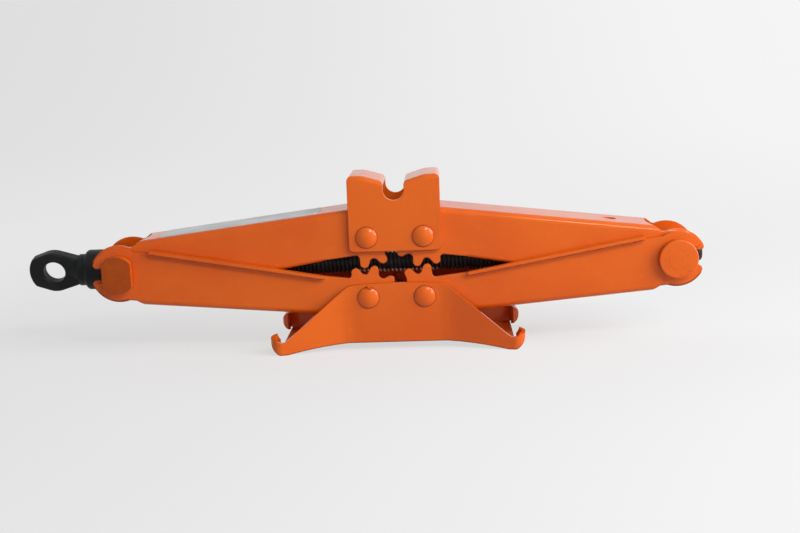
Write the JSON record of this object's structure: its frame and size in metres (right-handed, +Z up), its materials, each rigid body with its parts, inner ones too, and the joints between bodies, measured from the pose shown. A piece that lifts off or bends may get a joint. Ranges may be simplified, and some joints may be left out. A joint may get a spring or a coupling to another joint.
{
  "type": "scissor jack",
  "caption": "Folded scissor jack: geared pressed-steel channel arms between a splayed base and a notched saddle, raised by a crank screw with an eye.",
  "frame": {"origin": "on the ground plane of the feet, midway between the two base pivots", "axes": "+X along the screw towards its free end, +Y across the jack to its back, +Z up"},
  "size_m": [0.4403, 0.0756, 0.1114],
  "materials": {
    "orange_paint": "gloss",
    "black_steel": "satin",
    "bearing_steel": "satin"
  },
  "bodies": {
    "base": {"base_bracket": "orange_paint", "base_pin_left": "orange_paint", "base_pin_right": "orange_paint"},
    "lower_left": {"lower_arm_left": "orange_paint"},
    "lower_right": {"lower_arm_right": "orange_paint"},
    "upper_left": {"upper_arm_left": "orange_paint"},
    "upper_right": {"upper_arm_right": "orange_paint"},
    "head": {"head_bracket": "orange_paint", "head_pin_left": "orange_paint", "head_pin_right": "orange_paint"},
    "thrust": {"thrust_trunnion": "orange_paint", "seat_washer": "bearing_steel", "race_rear": "bearing_steel"},
    "nut": {"nut_trunnion": "orange_paint"},
    "screw": {"lead_screw": "black_steel", "eye_head": "black_steel", "stop_pin": "black_steel", "race_front": "bearing_steel", "bearing_cap": "black_steel"},
    "cage": {"ball_cage": "bearing_steel", "bearing_balls": "bearing_steel"}
  },
  "joints": [
    {"name": "lift", "type": "hinge", "parent": "base", "child": "lower_left", "pos_m": [-0.018, 0, 0.0338], "axis": [0, 1, 0], "range_deg": [-1.3, 61.2]},
    {"name": "lower_right_pivot", "type": "hinge", "parent": "base", "child": "lower_right", "pos_m": [0.018, 0, 0.0338], "axis": [0, 1, 0], "range_deg": [-61.2, 1.3]},
    {"name": "upper_left_pivot", "type": "hinge", "parent": "lower_left", "child": "upper_left", "pos_m": [-0.17846, 0, 0.05293], "axis": [0, 1, 0], "range_deg": [-122.4, 2.6]},
    {"name": "upper_right_pivot", "type": "hinge", "parent": "lower_right", "child": "upper_right", "pos_m": [0.17846, 0, 0.05293], "axis": [0, 1, 0], "range_deg": [-2.6, 122.4]},
    {"name": "head_pivot", "type": "hinge", "parent": "upper_left", "child": "head", "pos_m": [-0.018, 0, 0.07207], "axis": [0, 1, 0], "range_deg": [-1.3, 61.2]},
    {"name": "thrust_trunnion_pivot", "type": "hinge", "parent": "lower_left", "child": "thrust", "pos_m": [-0.17846, 0, 0.05293], "axis": [0, 1, 0], "range_deg": [-61.2, 1.3]},
    {"name": "nut_trunnion_pivot", "type": "hinge", "parent": "lower_right", "child": "nut", "pos_m": [0.17846, 0, 0.05293], "axis": [0, 1, 0], "range_deg": [-1.3, 61.2]},
    {"name": "screw_turn", "type": "hinge", "parent": "thrust", "child": "screw", "pos_m": [-0.17846, 0, 0.05293], "axis": [1, 0, 0], "continuous": true},
    {"name": "cage_turn", "type": "hinge", "parent": "thrust", "child": "cage", "pos_m": [-0.17846, 0, 0.05293], "axis": [1, 0, 0], "continuous": true}
  ],
  "couplings": [
    {"joint": "lower_right_pivot", "follows": "lift", "ratio": -1},
    {"joint": "upper_left_pivot", "follows": "lift", "ratio": -2},
    {"joint": "upper_right_pivot", "follows": "lift", "ratio": 2},
    {"joint": "head_pivot", "follows": "lift", "ratio": 1},
    {"joint": "thrust_trunnion_pivot", "follows": "lift", "ratio": -1},
    {"joint": "nut_trunnion_pivot", "follows": "lift", "ratio": 1},
    {"joint": "cage_turn", "follows": "screw_turn", "ratio": 0.5}
  ]
}
